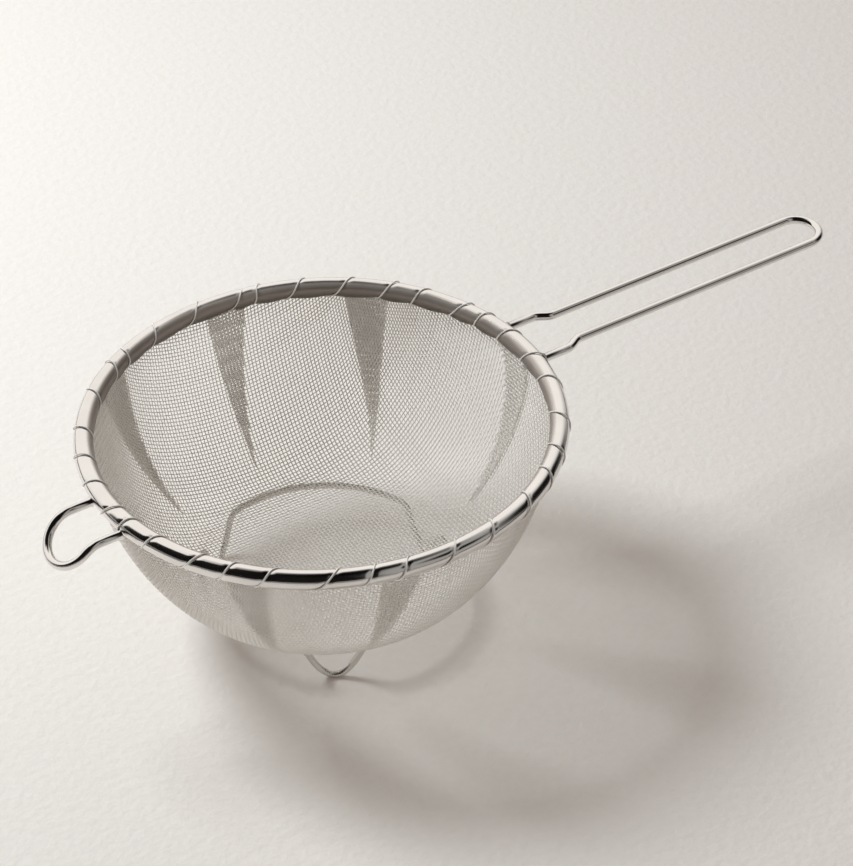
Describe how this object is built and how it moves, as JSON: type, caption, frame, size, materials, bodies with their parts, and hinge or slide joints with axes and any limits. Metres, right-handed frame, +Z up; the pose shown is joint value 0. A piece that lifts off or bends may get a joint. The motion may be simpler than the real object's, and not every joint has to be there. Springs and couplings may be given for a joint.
{
  "type": "soup strainer",
  "caption": "Round woven-mesh strainer bowl with a wire-lashed rolled rim, a long bent-wire handle, a pot hook and a footed base wire.",
  "frame": {"origin": "middle of the strainer's length, in its plane of symmetry, on the surface that its feet stand on", "axes": "+X from the pot hook towards the handle's far end, +Y across the bowl, +Z up through the bowl's mouth"},
  "size_m": [0.4036, 0.2086, 0.1021],
  "materials": {
    "mesh_steel": "satin drawn wire, woven",
    "polished_steel": "polished stainless steel",
    "wire_steel": "bright drawn wire"
  },
  "bodies": {
    "root": {"mesh_bowl": "mesh_steel", "rim_hoop": "wire_steel", "rim_band": "polished_steel", "lashing_wire": "wire_steel", "handle": "polished_steel", "pot_hook": "polished_steel", "base_wire": "wire_steel"}
  },
  "joints": []
}
